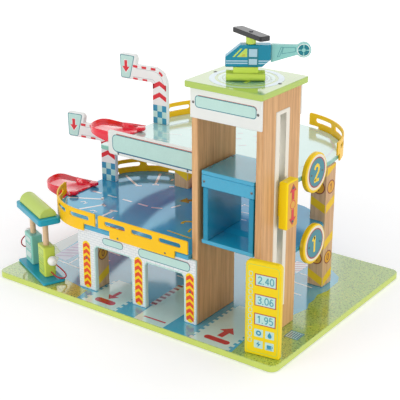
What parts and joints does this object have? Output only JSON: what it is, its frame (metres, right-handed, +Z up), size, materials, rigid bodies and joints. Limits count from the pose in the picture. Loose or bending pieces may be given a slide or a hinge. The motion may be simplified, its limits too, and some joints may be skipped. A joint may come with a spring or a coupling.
{
  "type": "toy garage",
  "caption": "Wooden multi-storey toy garage with a lift tower, parking decks, plastic car chutes, guard rails, a petrol station and a helicopter.",
  "frame": {"origin": "centre of the base board's underside", "axes": "+X along the front from left to right, +Y to the back, +Z up"},
  "size_m": [0.61, 0.4451, 0.5076],
  "materials": {
    "base_green": "satin paint and print",
    "panel_white": "satin white paint",
    "bare_wood": "clear varnish",
    "roof_green": "gloss print",
    "deck_blue": "gloss print",
    "deck_mint": "gloss print",
    "rail_yellow": "satin paint",
    "board_yellow": "satin paint",
    "chute_red": "gloss",
    "lift_blue": "satin paint",
    "heli_teal": "satin paint and print",
    "heli_mint": "satin paint",
    "lime": "satin paint",
    "rotor_black": "satin paint",
    "screw_steel": "plain",
    "station_blue": "satin paint",
    "pump_mint": "satin paint and print",
    "hose_red": "matt"
  },
  "bodies": {
    "garage": {"base_plate": "base_green", "facade_panel": "panel_white", "tower_wall_left": "bare_wood", "tower_wall_right": "bare_wood", "slot_track": "panel_white", "tower_header_front": "panel_white", "tower_header_rear": "panel_white", "roof_plate": "roof_green", "deck_1": "deck_blue", "deck_2": "deck_mint", "sign_panel": "panel_white", "column_front_left": "bare_wood", "column_rear_middle": "bare_wood", "column_rear_right": "bare_wood", "rail_1_left": "rail_yellow", "rail_1_front": "rail_yellow", "rail_1_rear": "rail_yellow", "rail_2_left": "rail_yellow", "rail_2_right": "rail_yellow", "chute_upper": "chute_red", "chute_lower": "chute_red", "knob_lower_front": "chute_red", "knob_lower_rear": "chute_red", "knob_upper_front": "chute_red", "knob_upper_rear": "chute_red", "exit_post_1": "panel_white", "exit_post_2": "panel_white", "price_totem": "board_yellow", "disc_1": "board_yellow", "disc_2": "board_yellow"},
    "lift": {"lift_roof": "lift_blue", "lift_floor": "lift_blue", "lift_wall_left": "lift_blue", "lift_wall_right": "lift_blue", "lift_header_front": "lift_blue", "lift_header_rear": "lift_blue", "lift_slider_neck": "board_yellow", "lift_slider_block": "board_yellow"},
    "helicopter": {"heli_body": "heli_teal", "heli_tail_boom": "heli_mint", "heli_skid_block": "lime", "heli_skid_left": "lime", "heli_skid_right": "lime", "heli_rotor_hub": "lime", "heli_rotor_screw": "screw_steel"},
    "rotor": {"heli_rotor_bar": "rotor_black"},
    "petrol_station": {"station_base": "station_blue", "station_pump_left": "pump_mint", "station_pump_right": "lime", "station_dowel_left": "bare_wood", "station_dowel_right": "bare_wood", "station_canopy": "station_blue", "station_canopy_top": "lime", "station_hose_left": "hose_red", "station_hose_right": "hose_red", "station_nozzle_left": "panel_white", "station_nozzle_right": "panel_white"}
  },
  "joints": [
    {"name": "lift_slide", "type": "slide", "parent": "garage", "child": "lift", "axis": [0, 0, 1], "range_m": [-0.148, 0.121]},
    {"name": "helicopter_lift_off", "type": "slide", "parent": "garage", "child": "helicopter", "axis": [0, 0, 1], "range_m": [0, 0.06]},
    {"name": "rotor_turn", "type": "hinge", "parent": "helicopter", "child": "rotor", "pos_m": [0.1843, -0.1203, 0.5], "axis": [0, 0, 1], "continuous": true},
    {"name": "station_lift_off", "type": "slide", "parent": "garage", "child": "petrol_station", "axis": [0, 0, 1], "range_m": [0, 0.05]}
  ]
}
